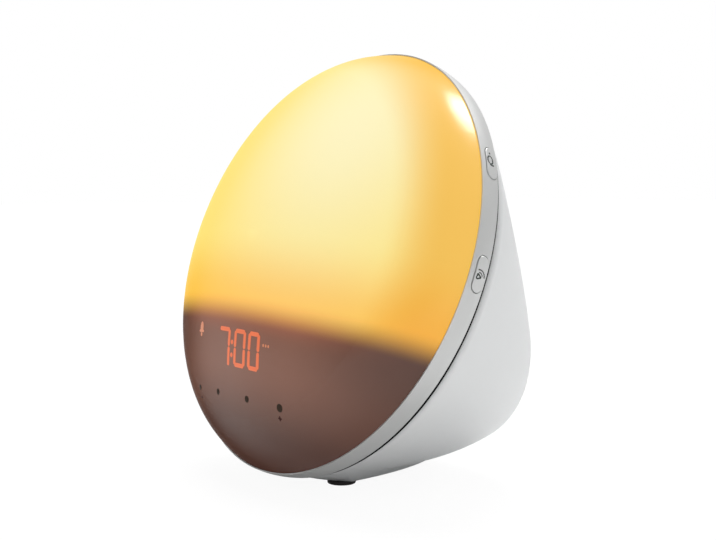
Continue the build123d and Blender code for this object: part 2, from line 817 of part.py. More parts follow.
# ------------------------------------------------------------------ feet
with BuildPart() as front_feet:
    for side in (-1, 1):
        place = (side * foot_x, face_y + foot_place[1])
        with BuildSketch(Plane.XY):
            with Locations(place):
                Circle(foot_radius)
        extrude(amount=plinth_height)
        with BuildSketch(Plane.XY.offset(plinth_height)):
            with Locations(place):
                Circle(spigot_radius)
        extrude(amount=spigot_length)
    fillet(front_feet.faces().group_by(Axis.Z)[0].edges(), 0.5)
save(front_feet, "front_feet")

with BuildPart() as rear_foot:
    with BuildSketch(Plane.XY):
        with Locations((0, face_y + rear_foot_place)):
            SlotOverall(*rear_foot_size)
    extrude(amount=plinth_height)
    fillet(rear_foot.faces().sort_by(Axis.Z)[0].edges(), 0.5)
    with BuildSketch(Plane.XY.offset(plinth_height)):
        with Locations((0, face_y + rear_foot_place)):
            Circle(spigot_radius)
    extrude(amount=spigot_length)
save(rear_foot, "rear_foot")

# ------------------------------------------------------------------ loudspeaker
inside_back = Plane(origin=(0, back_y - back_wall, back_z), x_dir=(1, 0, 0), z_dir=(0, -1, 0))
speaker_profile = Plane(origin=inside_back.origin, x_dir=(1, 0, 0), z_dir=(0, 0, -1))
speaker_axis = Axis(inside_back.origin, inside_back.z_dir)
flange_at = speaker_gasket_wall
basket_wall = 1.2
basket_back = 12.0
speaker_screw_length = basket_wall + speaker_gasket_wall + speaker_screw_bite

with BuildPart() as speaker_gasket:
    with BuildSketch(inside_back):
        Circle(speaker_cone_radius + 3.5)
        Circle(speaker_cone_radius + 0.5, mode=Mode.SUBTRACT)
    extrude(amount=speaker_gasket_wall)
save(speaker_gasket, "speaker_gasket")

with BuildPart() as speaker_basket:
    with BuildSketch(inside_back.offset(flange_at)):
        RectangleRounded(speaker_flange, speaker_flange, 4)
        Circle(speaker_cone_radius + 0.5, mode=Mode.SUBTRACT)
        with GridLocations(2 * speaker_screw_place, 2 * speaker_screw_place, 2, 2):
            Circle(screw_radius + fit_gap, mode=Mode.SUBTRACT)
    extrude(amount=basket_wall)
    with BuildSketch(speaker_profile):
        with BuildLine():
            Polyline(
                (speaker_cone_radius + 0.5, flange_at),
                (speaker_cone_radius + 1.7, flange_at),
                (speaker_cone_radius + 1.7, flange_at + 3),
                (magnet_radius, basket_back + basket_wall),
                (0, basket_back + basket_wall),
                (0, basket_back),
                (magnet_radius - 0.5, basket_back),
                (speaker_cone_radius + 0.5, flange_at + 3),
                close=True,
            )
        make_face()
    revolve(axis=speaker_axis)
save(speaker_basket, "speaker_basket")

with BuildPart() as speaker_cone:
    with BuildSketch(speaker_profile):
        with BuildLine():
            Polyline(
                (speaker_cone_radius + 0.3, flange_at + 1.0),
                (speaker_cone_radius - 2, flange_at + 1.0),
                (7, flange_at + 6.5),
                (4, flange_at + 5.0),
                (0, flange_at + 4.4),
                (0, flange_at + 5.2),
                (4, flange_at + 5.8),
                (6.6, flange_at + 7.6),
                (speaker_cone_radius - 1.8, flange_at + 1.8),
                (speaker_cone_radius + 0.3, flange_at + 1.8),
                close=True,
            )
        make_face()
    revolve(axis=speaker_axis)
save(speaker_cone, "speaker_cone")

with BuildPart() as speaker_magnet:
    with BuildSketch(inside_back.offset(basket_back + basket_wall)):
        Circle(magnet_radius)
    extrude(amount=7.0)
    fillet(speaker_magnet.faces().sort_by(Axis.Y)[0].edges(), 0.8)
save(speaker_magnet, "speaker_magnet")

corner_places = [(x * speaker_screw_place, y * speaker_screw_place) for x in (-1, 1) for y in (-1, 1)]
speaker_front = inside_back.offset(flange_at + basket_wall)
save_screws("speaker_screws", speaker_front, corner_places, speaker_screw_length)

# ------------------------------------------------------------------ power jack and aerial outlet
jack_spot = (-jack_place[0], jack_place[1])
grommet_spot = (jack_place[0], jack_place[1])

with BuildPart() as dc_jack:
    with BuildSketch(inside_back):
        with Locations(jack_spot):
            RectangleRounded(jack_size[0], jack_size[1], 0.8)
    extrude(amount=jack_size[2])
    with BuildSketch(inside_back):
        with Locations(jack_spot):
            Circle(jack_nose)
    extrude(amount=-back_wall)
    with BuildSketch(inside_back.offset(-back_wall)):
        with Locations(jack_spot):
            Circle(jack_bore)
    extrude(amount=jack_bore_depth, mode=Mode.SUBTRACT)
save(dc_jack, "dc_jack")

with BuildPart() as jack_pin:
    with BuildSketch(inside_back.offset(jack_bore_depth - back_wall)):
        with Locations(jack_spot):
            Circle(jack_pin_radius)
    extrude(amount=-jack_bore_depth + 1.0)
save(jack_pin, "jack_pin")

with BuildPart() as aerial_grommet:
    with BuildSketch(inside_back.offset(-back_wall)):
        with Locations(grommet_spot):
            Circle(grommet_flange)
    extrude(amount=grommet_flange_wall)
    with BuildSketch(inside_back.offset(-back_wall)):
        with Locations(grommet_spot):
            Circle(grommet_neck)
    extrude(amount=back_wall)
    with BuildSketch(inside_back):
        with Locations(grommet_spot):
            Circle(grommet_flange)
    extrude(amount=grommet_flange_wall)
    with BuildSketch(inside_back.offset(-back_wall)):
        with Locations(grommet_spot):
            Circle(grommet_bore)
    extrude(amount=back_wall + 2, mode=Mode.SUBTRACT)
save(aerial_grommet, "aerial_grommet")
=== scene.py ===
import bmesh
import bpy
from math import cos, exp, hypot, pi, radians, sin, sqrt
from mathutils import Matrix, Vector


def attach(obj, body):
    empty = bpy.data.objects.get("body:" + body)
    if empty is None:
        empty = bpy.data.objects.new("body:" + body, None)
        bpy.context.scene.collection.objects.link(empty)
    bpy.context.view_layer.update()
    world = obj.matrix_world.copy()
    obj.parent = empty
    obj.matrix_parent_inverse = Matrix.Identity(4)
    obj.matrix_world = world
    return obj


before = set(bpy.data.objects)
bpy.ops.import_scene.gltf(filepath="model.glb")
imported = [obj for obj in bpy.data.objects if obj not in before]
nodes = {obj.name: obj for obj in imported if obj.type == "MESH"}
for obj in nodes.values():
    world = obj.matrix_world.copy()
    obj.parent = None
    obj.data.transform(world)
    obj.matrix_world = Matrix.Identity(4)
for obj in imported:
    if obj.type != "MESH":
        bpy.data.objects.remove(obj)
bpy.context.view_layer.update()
scene = bpy.context.scene
MM = 0.001  # sizes are typed in millimetres and made into metres

# ------------------------------------------------------------------ the face, as part.py has it (mm)
# A place on the face is (x, v): x across it and v up its slope. s is the height out of its plane.
LEAN = radians(20.3)
MIDDLE = Vector((0, -10.477, 97.096))
ACROSS = Vector((1, 0, 0))
UPWARD = Vector((0, sin(LEAN), cos(LEAN)))
OUTWARD = Vector((0, -cos(LEAN), sin(LEAN)))

# the dome's section: a wide crown arc, then a tighter shoulder arc that ends at the rim
RIM_ANGLE, CROWN_ANGLE = radians(71.0), radians(25.6)
RIM_RADIUS, SHOULDER_RADIUS = 95.7, 36.1
REACH = RIM_RADIUS - SHOULDER_RADIUS * (sin(RIM_ANGLE) - sin(CROWN_ANGLE))  # where the arcs meet
CROWN_RADIUS = REACH / sin(CROWN_ANGLE)
SHOULDER_X = REACH - SHOULDER_RADIUS * sin(CROWN_ANGLE)
SHOULDER_S = -SHOULDER_RADIUS * cos(RIM_ANGLE)
CROWN_S = SHOULDER_S + SHOULDER_RADIUS * cos(CROWN_ANGLE) - CROWN_RADIUS * cos(CROWN_ANGLE)


def dome_height(r):
    """Height of the dome over the face plane, at a distance r from its axis."""
    if r < REACH:
        return CROWN_S + sqrt(CROWN_RADIUS**2 - r * r)
    return SHOULDER_S + sqrt(SHOULDER_RADIUS**2 - (r - SHOULDER_X) ** 2)


def face_point(x, v, s):
    """A place given across, up and out of the face, in metres."""
    return (MIDDLE + ACROSS * x + UPWARD * v + OUTWARD * s) * MM


def on_dome(x, v, lift):
    """A place on the dome's outer surface, lifted off it by a little."""
    return face_point(x, v, dome_height(hypot(x, v)) + lift)


# ------------------------------------------------------------------ materials
class Graph:
    """Short names for building a material's nodes."""

    def __init__(self, name):
        self.material = bpy.data.materials.new(name)
        self.material.use_nodes = True
        self.tree = self.material.node_tree
        self.tree.nodes.clear()
        self.shader = self.node("ShaderNodeBsdfPrincipled")
        out = self.node("ShaderNodeOutputMaterial")
        self.link(self.shader.outputs[0], out.inputs["Surface"])
        self.place = self.node("ShaderNodeTexCoord").outputs["Object"]

    def node(self, kind, **settings):
        made = self.tree.nodes.new(kind)
        for key, value in settings.items():
            setattr(made, key, value)
        return made

    def link(self, a, b):
        self.tree.links.new(a, b)

    def put(self, value, socket):
        """Gives a socket its value: another node's output, or a number or colour."""
        if isinstance(value, bpy.types.NodeSocket):
            self.link(value, socket)
        else:
            socket.default_value = value

    def math(self, operation, *values):
        made = self.node("ShaderNodeMath", operation=operation)
        for value, socket in zip(values, made.inputs):
            self.put(value, socket)
        return made.outputs[0]

    def add(self, *values):
        total = values[0]
        for value in values[1:]:
            total = self.math("ADD", total, value)
        return total

    def smooth(self, value, low, high, to_low=0.0, to_high=1.0):
        """Goes smoothly from to_low to to_high while the value goes from low to high."""
        made = self.node("ShaderNodeMapRange", interpolation_type="SMOOTHSTEP", clamp=True)
        for spot, item in enumerate((value, low, high, to_low, to_high)):
            self.put(item, made.inputs[spot])
        return made.outputs[0]

    def vector(self, operation, a, b=None, scale=None):
        made = self.node("ShaderNodeVectorMath", operation=operation)
        self.put(a, made.inputs[0])
        if b is not None:
            self.put(b, made.inputs[1])
        if scale is not None:
            self.put(scale, made.inputs["Scale"])
        return made.outputs[0]

    def layered(self, start, *parts):
        """The start colour plus each part's amount times its colour."""
        total = start
        for amount, color in parts:
            made = self.node("ShaderNodeVectorMath", operation="MULTIPLY_ADD")
            for item, socket in zip((amount, color, total), made.inputs):
                self.put(item, socket)
            total = made.outputs[0]
        return total

    def blob(self, terms):
        """A soft round spot: exp of minus the sum of squares of (value - middle) / width."""
        squares = []
        for value, middle, width in terms:
            off = self.math("DIVIDE", self.math("SUBTRACT", value, middle), width)
            squares.append(self.math("MULTIPLY", off, off))
        return self.math("EXPONENT", self.math("MULTIPLY", self.add(*squares), -1.0))

    def mix(self, factor, a, b):
        """Colour a where the factor is 0, colour b where it is 1."""
        made = self.node("ShaderNodeMix", data_type="RGBA")
        self.put(factor, made.inputs["Factor"])
        for color, socket in ((a, made.inputs["A"]), (b, made.inputs["B"])):
            self.put(color if isinstance(color, bpy.types.NodeSocket) else (*color, 1), socket)
        return made.outputs["Result"]

    def noise(self, scale, detail=3.0, rough=0.5):
        made = self.node("ShaderNodeTexNoise")
        self.link(self.place, made.inputs["Vector"])
        made.inputs["Scale"].default_value = scale
        made.inputs["Detail"].default_value = detail
        made.inputs["Roughness"].default_value = rough
        return made.outputs["Fac"]

    def bump(self, height, strength, distance):
        made = self.node("ShaderNodeBump")
        made.inputs["Strength"].default_value = strength
        made.inputs["Distance"].default_value = distance
        self.link(height, made.inputs["Height"])
        self.link(made.outputs["Normal"], self.shader.inputs["Normal"])


NOISE_LOW, NOISE_HIGH = 0.2, 0.8  # nearly all of a noise texture lies between these
DRIFT_SCALE = 35.0  # slow changes of colour across a surface
GLOSS_LOW, GLOSS_HIGH = 0.88, 1.12  # how far the grain changes the roughness


def surface(
    name, color, rough, metallic=0.0, grain=900.0, depth=0.00002, vary=0.04, strength=0.25, **more
):
    """A moulded, painted or metal surface: a fine grain in bump and gloss, a slow drift in colour.

    more holds other inputs of the shader, such as IOR.
    """
    g = Graph(name)
    drift = g.noise(DRIFT_SCALE, detail=2.0)
    fine = g.noise(grain, rough=0.6)
    darker = tuple(c * (1 - vary) for c in color)
    lighter = tuple(min(1.0, c * (1 + vary)) for c in color)
    g.link(g.mix(drift, darker, lighter), g.shader.inputs["Base Color"])
    gloss = g.smooth(fine, NOISE_LOW, NOISE_HIGH, rough * GLOSS_LOW, min(1.0, rough * GLOSS_HIGH))
    g.link(gloss, g.shader.inputs["Roughness"])
    g.shader.inputs["Metallic"].default_value = metallic
    for key, value in more.items():
        g.shader.inputs[key].default_value = value
    g.bump(fine, strength, depth)
    return g.material


UNLIT = (0.02, 0.02, 0.02)
DIMMEST = 0.86  # share of the light that a lit surface gives in its dimmest spots


def glow(name, color):
    """A lit surface, with a faint unevenness."""
    g = Graph(name)
    g.shader.inputs["Base Color"].default_value = (*UNLIT, 1)
    g.shader.inputs["Roughness"].default_value = 0.4
    uneven = g.noise(260.0, detail=2.0)
    dimmer = tuple(c * DIMMEST for c in color)
    g.link(g.mix(uneven, dimmer, color), g.shader.inputs["Emission Color"])
    g.shader.inputs["Emission Strength"].default_value = 1.0
    return g.material


def wear(node, material):
    """Gives a CAD node its material."""
    ob = nodes[node]
    if not ob.data.materials:
        ob.data.materials.append(material)
    for item in ob.material_slots:
        item.link = "OBJECT"
        item.material = material


# the dome's light, with places and widths in mm on the face, and colours as light given off
CHORD_LOW, CHORD_HIGH = -40.2, -27.2  # the glow ends between these heights
WARM = (0.694, 0.306, 0.011)  # all over the upper zone
HOT_MIDDLE, HOT_WIDTH = (36.3, 51.5), (58.5, 65.8)
HOT = (-0.025, 0.117, 0.342)  # added round the hot spot
FADE_MIDDLE, FADE_START, FADE_END = (-16.2, -3.7), 85.0, 106.5
INSIDE = (0.092, 0.142, 0.021)  # added away from the rim
RISE_LOW, RISE_HIGH = -29.3, 2.3
RISEN = (0.0, 0.100, 0.050)  # added above the chord
RISEN_INSIDE = (0.0, 0.092, 0.061)  # added above the chord, away from the rim
DIM = (0.032, 0.012, 0.009)  # all over the lower zone
SIDE_MIDDLE, SIDE_FULL, SIDE_END = 7.0, 24.4, 85.0
AROUND_LOW, AROUND_HIGH = -84.0, -54.8
AROUND = (0.125, 0.054, 0.034)  # added round the display
SKIRT_MIDDLE, SKIRT_WIDTH = -34.5, 5.8
SKIRT = (0.146, 0.024, 0.0)  # added in a band along the chord

# the dome's own colour and shine
SMOKY_DARK, SMOKY_LIGHT = (0.070, 0.036, 0.025), (0.080, 0.041, 0.029)
MILKY = (0.28, 0.17, 0.05)
SMOOTHEST, ROUGHEST = 0.20, 0.26
SHALLOW_LOW, SHALLOW_HIGH = 0.46, 0.78  # facing values between which the shine goes
DOME_SPECULAR, DOME_IOR = 0.3, 1.49  # used where the change with the angle isn't read
SPECULAR_FRONT, SPECULAR_SIDE = 0.38, 0.02
IOR_FRONT, IOR_SIDE = 1.49, 1.08


def diffuser_material():
    """Frosted dome: a warm sunrise glow above the chord, the dim display zone below it."""
    g = Graph("frosted_dome")
    apart = g.node("ShaderNodeSeparateXYZ")
    shifted = g.vector("SUBTRACT", g.place, tuple(MIDDLE * MM))
    g.link(g.vector("SCALE", shifted, scale=1 / MM), apart.inputs[0])
    x, y, z = apart.outputs
    v = g.add(g.math("MULTIPLY", y, sin(LEAN)), g.math("MULTIPLY", z, cos(LEAN)))
    edge = g.smooth(v, CHORD_LOW, CHORD_HIGH)

    # upper zone: warm all over, paler round a hot spot, weaker towards the rim and the chord
    hot = g.blob(zip((x, v), HOT_MIDDLE, HOT_WIDTH))
    squares = []
    for value, middle in zip((x, v), FADE_MIDDLE):
        squares.append(g.math("POWER", g.add(value, -middle), 2.0))
    fade = g.smooth(g.math("SQRT", g.add(*squares)), FADE_END, FADE_START)
    rise = g.smooth(v, RISE_LOW, RISE_HIGH)
    lit = g.layered(
        WARM,
        (g.math("MULTIPLY", hot, fade), HOT),
        (fade, INSIDE),
        (rise, RISEN),
        (g.math("MULTIPLY", rise, fade), RISEN_INSIDE),
    )

    # lower zone: brightest round the display, with a red skirt under the glow's edge
    side = g.smooth(g.math("ABSOLUTE", g.math("SUBTRACT", x, SIDE_MIDDLE)), SIDE_END, SIDE_FULL)
    around = g.math("MULTIPLY", g.smooth(v, AROUND_LOW, AROUND_HIGH), side)
    dim = g.layered(DIM, (around, AROUND))
    skirt = g.math("MULTIPLY", g.blob(((v, SKIRT_MIDDLE, SKIRT_WIDTH),)), side)
    light = g.layered(g.mix(edge, dim, lit), (skirt, SKIRT))
    g.link(light, g.shader.inputs["Emission Color"])
    g.shader.inputs["Emission Strength"].default_value = 1.0

    # smoky below the chord, milky above it
    cloud = g.noise(60.0, detail=2.0)
    smoky = g.mix(cloud, SMOKY_DARK, SMOKY_LIGHT)
    g.link(g.mix(edge, smoky, MILKY), g.shader.inputs["Base Color"])
    fine = g.noise(1500.0, detail=2.0)
    gloss = g.smooth(fine, NOISE_LOW, NOISE_HIGH, SMOOTHEST, ROUGHEST)
    g.link(gloss, g.shader.inputs["Roughness"])
    # the frosting takes the shine away at shallow angles
    shallow = g.node("ShaderNodeLayerWeight").outputs["Facing"]
    for name, plain, front, side_on in (
        ("Specular IOR Level", DOME_SPECULAR, SPECULAR_FRONT, SPECULAR_SIDE),
        ("IOR", DOME_IOR, IOR_FRONT, IOR_SIDE),
    ):
        socket = g.shader.inputs[name]
        socket.default_value = plain
        g.link(g.smooth(shallow, SHALLOW_LOW, SHALLOW_HIGH, front, side_on), socket)
    g.bump(fine, strength=0.05, distance=0.00001)
    return g.material


even_shell = dict(grain=1400.0, vary=0.012, strength=0.12)
satin_paint = dict(metallic=0.5, grain=2600.0, vary=0.02, strength=0.12, depth=0.00001)
white_plastic = surface("white_moulding", (0.80, 0.812, 0.815), 0.42, **even_shell)
silver = surface("satin_silver", (0.615, 0.62, 0.615), 0.36, **satin_paint)
cap_silver = surface("satin_silver_caps", (0.63, 0.635, 0.63), 0.32, **satin_paint)
black_plastic = surface("black_moulding", (0.018, 0.018, 0.019), 0.55, vary=0.1)
rubber = surface("rubber", (0.040, 0.034, 0.034), 0.75, vary=0.12, grain=700.0, strength=0.5)
grey_rubber = surface("grey_rubber", (0.62, 0.62, 0.62), 0.65, vary=0.06, grain=700.0)
soft_foam = dict(vary=0.3, grain=500.0, strength=0.8, depth=0.0002)
foam = surface("foam", (0.05, 0.05, 0.05), 0.9, **soft_foam)
reflector = surface("white_reflector", (0.86, 0.86, 0.84), 0.32, vary=0.02)
mask_green = surface("green_solder_mask", (0.02, 0.13, 0.06), 0.35, vary=0.25, grain=300.0)
mask_white = surface("white_solder_mask", (0.78, 0.78, 0.76), 0.35, vary=0.03)
steel = surface("zinc_steel", (0.62, 0.62, 0.64), 0.32, metallic=1.0, grain=1500.0)
tin = surface("tinned_can", (0.72, 0.72, 0.73), 0.28, metallic=1.0, grain=400.0)
nickel = surface("nickel", (0.74, 0.72, 0.67), 0.25, metallic=1.0)
ferrite = surface("ferrite", (0.06, 0.06, 0.065), 0.6, metallic=0.3, vary=0.2)
soft_paper = dict(vary=0.3, grain=400.0, strength=0.7, depth=0.0001)
paper = surface("paper_cone", (0.035, 0.035, 0.035), 0.85, **soft_paper)
painted = surface("black_paint", (0.02, 0.02, 0.02), 0.4, metallic=0.2)
phosphor = surface("phosphor", (0.85, 0.68, 0.16), 0.5, vary=0.1)
amber = glow("amber_bars", (1.0, 0.28, 0.10))
dome_look = diffuser_material()

looks = {
    "front_diffuser": dome_look,
    "trim_ring": silver,
    "inner_frame": black_plastic,
    "rear_housing": white_plastic,
    "reflector_bowl": reflector,
    "light_baffle": reflector,
    "led_board": mask_white,
    "led_array": phosphor,
    "display_tray": black_plastic,
    "display_module": black_plastic,
    "display_segments": amber,
    "display_board": mask_green,
    "touch_board": mask_green,
    "touch_pads": foam,
    "main_board": mask_green,
    "key_boards": mask_green,
    "control_chips": black_plastic,
    "tact_switches": black_plastic,
    "radio_tuner": tin,
    "backup_capacitor": tin,
    "speaker_gasket": foam,
    "speaker_basket": painted,
    "speaker_cone": paper,
    "speaker_magnet": ferrite,
    "dc_jack": black_plastic,
    "jack_pin": nickel,
    "aerial_grommet": grey_rubber,
    "front_feet": rubber,
    "rear_foot": grey_rubber,
}
for name in nodes:
    if name.startswith("button_"):
        wear(name, cap_silver)
    elif name.startswith("plunger_"):
        wear(name, black_plastic)
    elif name.endswith("_screws"):
        wear(name, steel)
    else:
        wear(name, looks[name])


# ------------------------------------------------------------------ marks on the dome
def new_mesh(name, mesh, material):
    """Makes an object of a bmesh, which is used up."""
    mesh.normal_update()
    data = bpy.data.meshes.new(name)
    mesh.to_mesh(data)
    mesh.free()
    data.materials.append(material)
    ob = bpy.data.objects.new(name, data)
    scene.collection.objects.link(ob)
    return ob


MARK_LIFT, MARK_DEPTH = 0.05, 0.12  # how far a mark stands proud of the dome, and its thickness
END_STEPS = (0.0, 0.08, 0.3, 0.62, 1.0)  # where a bar's rounded end has its points
TIP_SHARE = 0.12  # width left at the very tip


def bar(mesh, place, start, end, width, lift=MARK_LIFT, depth=MARK_DEPTH, steps=10, end_round=1.0):
    """A thin closed bar with rounded ends, laid on the surface that place(a, b, lift) gives."""
    a, b = Vector(start), Vector(end)
    along = (b - a).normalized()
    across = Vector((-along.y, along.x))
    length = (b - a).length
    half = width / 2
    near_end = [half * share for share in END_STEPS]
    far_end = [length - half * share for share in END_STEPS]
    between = [half + (length - width) * i / steps for i in range(1, steps)]
    rows = []
    for t in sorted({*near_end, *far_end, *between}):
        near = min(t, length - t)
        wide = half
        if near < half:
            wide = max(half * TIP_SHARE, sqrt(max(0.0, half**2 - (half - near) ** 2)))
        wide = half + (wide - half) * end_round
        centre = a + along * t
        row = []
        for side in (1, -1):
            spot = centre + across * (wide * side)
            top = mesh.verts.new(place(spot.x, spot.y, lift))
            low = mesh.verts.new(place(spot.x, spot.y, lift - depth))
            row.append((top, low))
        rows.append(row)
    for here, there in zip(rows, rows[1:]):
        (left_top, left_low), (right_top, right_low) = here
        (next_left_top, next_left_low), (next_right_top, next_right_low) = there
        mesh.faces.new((left_top, right_top, next_right_top, next_left_top))
        mesh.faces.new((left_low, next_left_low, next_right_low, right_low))
        mesh.faces.new((left_top, next_left_top, next_left_low, left_low))
        mesh.faces.new((right_top, right_low, next_right_low, next_right_top))
    for (left_top, left_low), (right_top, right_low) in (rows[0], rows[-1]):
        mesh.faces.new((left_top, left_low, right_low, right_top))


def disc(mesh, place, middle, radius, lift=MARK_LIFT, depth=MARK_DEPTH, count=20, rings=3):
    """A thin closed disc laid on the surface that place(a, b, lift) gives."""
    top = mesh.verts.new(place(middle[0], middle[1], lift))
    low = mesh.verts.new(place(middle[0], middle[1], lift - depth))
    before = None
    for step in range(1, rings + 1):
        r = radius * step / rings
        ring = []
        for i in range(count):
            turn = 2 * pi * i / count
            a, b = middle[0] + r * cos(turn), middle[1] + r * sin(turn)
            ring.append((mesh.verts.new(place(a, b, lift)), mesh.verts.new(place(a, b, lift - depth))))
        for i in range(count):
            j = (i + 1) % count
            if before is None:
                mesh.faces.new((top, ring[i][0], ring[j][0]))
                mesh.faces.new((low, ring[j][1], ring[i][1]))
            else:
                mesh.faces.new((before[i][0], ring[i][0], ring[j][0], before[j][0]))
                mesh.faces.new((before[i][1], before[j][1], ring[j][1], ring[i][1]))
        before = ring
    for i in range(count):
        j = (i + 1) % count
        mesh.faces.new((before[i][0], before[i][1], before[j][1], before[j][0]))


# the time on the dome, in mm on the face
STROKE = 1.75  # width of a lit bar
TOP, LOW = -43.0, -56.7  # middles of the digits' top and bottom bars
HALF_WAY = (TOP + LOW) / 2
SEGMENT_GAP = 0.1
# each digit's left and right bars, its lowest point and its figure
DIGITS = (
    (-11.6, -3.4, LOW - 0.9, "7"),
    (1.6, 8.5, LOW, "0"),
    (12.0, 18.1, LOW, "0"),
)
COLON_X, COLON_HEIGHTS, COLON_RADIUS = -0.9, (-47.9, -53.1), 0.95
DASH_X, DASH_STEP, DASH_WIDTH = 21.3, 1.6, 0.9
DASH_TOP, DASH_LOW = -46.1, -47.3


def draw_digit(mesh, left, right, low, figure):
    """The lit bars of a seven-segment 7 or 0."""
    bar(mesh, on_dome, (left, TOP), (right, TOP), STROKE)
    bar(mesh, on_dome, (right, TOP), (right, HALF_WAY + SEGMENT_GAP), STROKE)
    bar(mesh, on_dome, (right, HALF_WAY - SEGMENT_GAP), (right, low), STROKE)
    if figure == "0":
        bar(mesh, on_dome, (left, TOP), (left, HALF_WAY + SEGMENT_GAP), STROKE)
        bar(mesh, on_dome, (left, HALF_WAY - SEGMENT_GAP), (left, low), STROKE)
        bar(mesh, on_dome, (left, low), (right, low), STROKE)


def draw_bell(mesh, x, crown, neck, skirt, brim, clapper):
    """A bell with its middle at x, from the heights of its parts."""
    disc(mesh, on_dome, (x, crown), 1.5)
    bar(mesh, on_dome, (x, neck), (x, skirt), 3.4, steps=2, end_round=0.0)
    bar(mesh, on_dome, (x - 2.6, brim), (x + 2.6, brim), 1.0, steps=3)
    disc(mesh, on_dome, (x, clapper), 0.9, count=12, rings=1)


digit_bars = bmesh.new()
for left, right, low, figure in DIGITS:
    draw_digit(digit_bars, left, right, low, figure)
for height in COLON_HEIGHTS:
    disc(digit_bars, on_dome, (COLON_X, height), COLON_RADIUS)
digits = new_mesh("time_digits", digit_bars, glow("digit_glow", (0.82, 0.155, 0.045)))
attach(digits, "clock")

dim_marks = bmesh.new()
for step in range(3):
    dash = DASH_X + DASH_STEP * step
    bar(dim_marks, on_dome, (dash, DASH_TOP), (dash, DASH_LOW), DASH_WIDTH, steps=3)
draw_bell(dim_marks, -31.4, crown=-42.9, neck=-43.0, skirt=-45.2, brim=-45.4, clapper=-46.8)
marks = new_mesh("display_marks", dim_marks, glow("dim_glow", (0.62, 0.20, 0.085)))
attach(marks, "clock")

# the touch keys' plus and minus signs, and a round spot on each key
DULL_IOR = 1.1  # for print and deep shadow, which hardly shine
SIGN_X, SIGN_V, SIGN_HALF, SIGN_WIDTH = 31.4, -73.2, 1.0, 0.6
KEY_V = -69.2
KEYS = ((-32.4, 1.1), (-12.8, 1.25), (10.7, 1.35), (31.6, 1.6))  # each spot's x and radius

signs = bmesh.new()
for start, end in (
    ((SIGN_X - SIGN_HALF, SIGN_V), (SIGN_X + SIGN_HALF, SIGN_V)),
    ((SIGN_X, SIGN_V + SIGN_HALF), (SIGN_X, SIGN_V - SIGN_HALF)),
    ((-SIGN_X - SIGN_HALF, SIGN_V), (-SIGN_X + SIGN_HALF, SIGN_V)),
):
    bar(signs, on_dome, start, end, SIGN_WIDTH, steps=4)
dark_print = surface("dark_print", (0.06, 0.022, 0.018), 0.5, IOR=DULL_IOR)
key_signs = new_mesh("key_signs", signs, dark_print)
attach(key_signs, "clock")

spots = bmesh.new()
for x, radius in KEYS:
    disc(spots, on_dome, (x, KEY_V), radius, count=24)
key_shade = surface("key_shade", (0.055, 0.038, 0.027), 0.5, vary=0.1, IOR=DULL_IOR)
key_spots = new_mesh("key_spots", spots, key_shade)
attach(key_spots, "clock")


# ------------------------------------------------------------------ the seam behind the ring, with its deep shadow painted in as a black strip
# a black band laid in the seam as painted shade, where the gap holds only deep shadow
SEAM_OUTER, SEAM_INNER = 95.0, 91.7  # radii of the strip's front face
SEAM_SQUEEZE = 0.4  # the strip is this much narrower at the top
SEAM_FRONT, SEAM_BACK = -10.02, -10.95
# the painted shadow is made wider at the bottom, where the groove lies deeper in shade
SEAM_WIDTH, SEAM_EXTRA = 0.65, 1.0  # width of the edge that shows, and what the bottom adds to it
SEAM_DRAFT = 0.05


def seam_section(turn):
    """The painted shadow strip's section as (radius, height) points, at an angle round the face."""
    outer = SEAM_OUTER - SEAM_SQUEEZE * max(0.0, sin(turn))
    back_edge = SEAM_FRONT - (SEAM_WIDTH + SEAM_EXTRA * max(0.0, -sin(turn)))
    return (
        (outer, SEAM_FRONT),
        (outer - SEAM_DRAFT, back_edge),
        (SEAM_INNER, SEAM_BACK),
        (SEAM_INNER, SEAM_FRONT),
    )


def band(name, section, material, count=180):
    """A closed ring around the face's axis, with section(turn) all the way round."""
    mesh = bmesh.new()
    rows = []
    for i in range(count):
        turn = 2 * pi * i / count
        row = []
        for r, s in section(turn):
            row.append(mesh.verts.new(face_point(r * cos(turn), r * sin(turn), s)))
        rows.append(row)
    for here, there in zip(rows, rows[1:] + rows[:1]):
        for k in range(len(here)):
            n = (k + 1) % len(here)
            mesh.faces.new((here[k], here[n], there[n], there[k]))
    return new_mesh(name, mesh, material)


# painted shadow: a black strip stands for the deep shadow in the seam
painted_shadow_black = surface("painted_shadow_black", (0.012, 0.012, 0.012), 0.8, vary=0.1, IOR=DULL_IOR)
painted_seam_shadow = band("painted_seam_shadow", seam_section, painted_shadow_black)
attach(painted_seam_shadow, "clock")


# ------------------------------------------------------------------ print on the side buttons
BUTTONS = (("right_lower", 0), ("right_upper", 28), ("left_lower", 180), ("left_upper", 152))
CAP_CREST, CREST_S, CAP_BEND = 96.943, -3.3, 0.0171  # the arc across a button's cap
CAP_MIDDLE_S = -5.4
CAP_RADIUS = 96.5  # of the bend along the rim
INK_LIFT, INK_DEPTH = 0.02, 0.05
ICON_STRETCH, ICON_SHIFT = 1.2, 0.2  # across the rim


def icon_place(angle):
    """place(a, b, lift) on the cap at that angle round the rim: a runs up the rim, b to the front."""
    turn = radians(angle)
    out = ACROSS * cos(turn) + UPWARD * sin(turn)
    along = UPWARD * cos(turn) - ACROSS * sin(turn)
    flip = 1 if angle < 90 else -1

    def place(a, b, lift):
        a = a * flip
        s = CAP_MIDDLE_S + (b * ICON_STRETCH + ICON_SHIFT)
        r = CAP_CREST - CAP_BEND * (s - CREST_S) ** 2 + lift
        r = r - (1 - cos(a / CAP_RADIUS)) * CAP_RADIUS
        return (MIDDLE + out * r + along * a + OUTWARD * s) * MM

    return place


def stroke(mesh, place, points, width):
    """A line through the points, drawn as short bars."""
    for start, end in zip(points, points[1:]):
        bar(mesh, place, start, end, width, INK_LIFT, INK_DEPTH, steps=1)


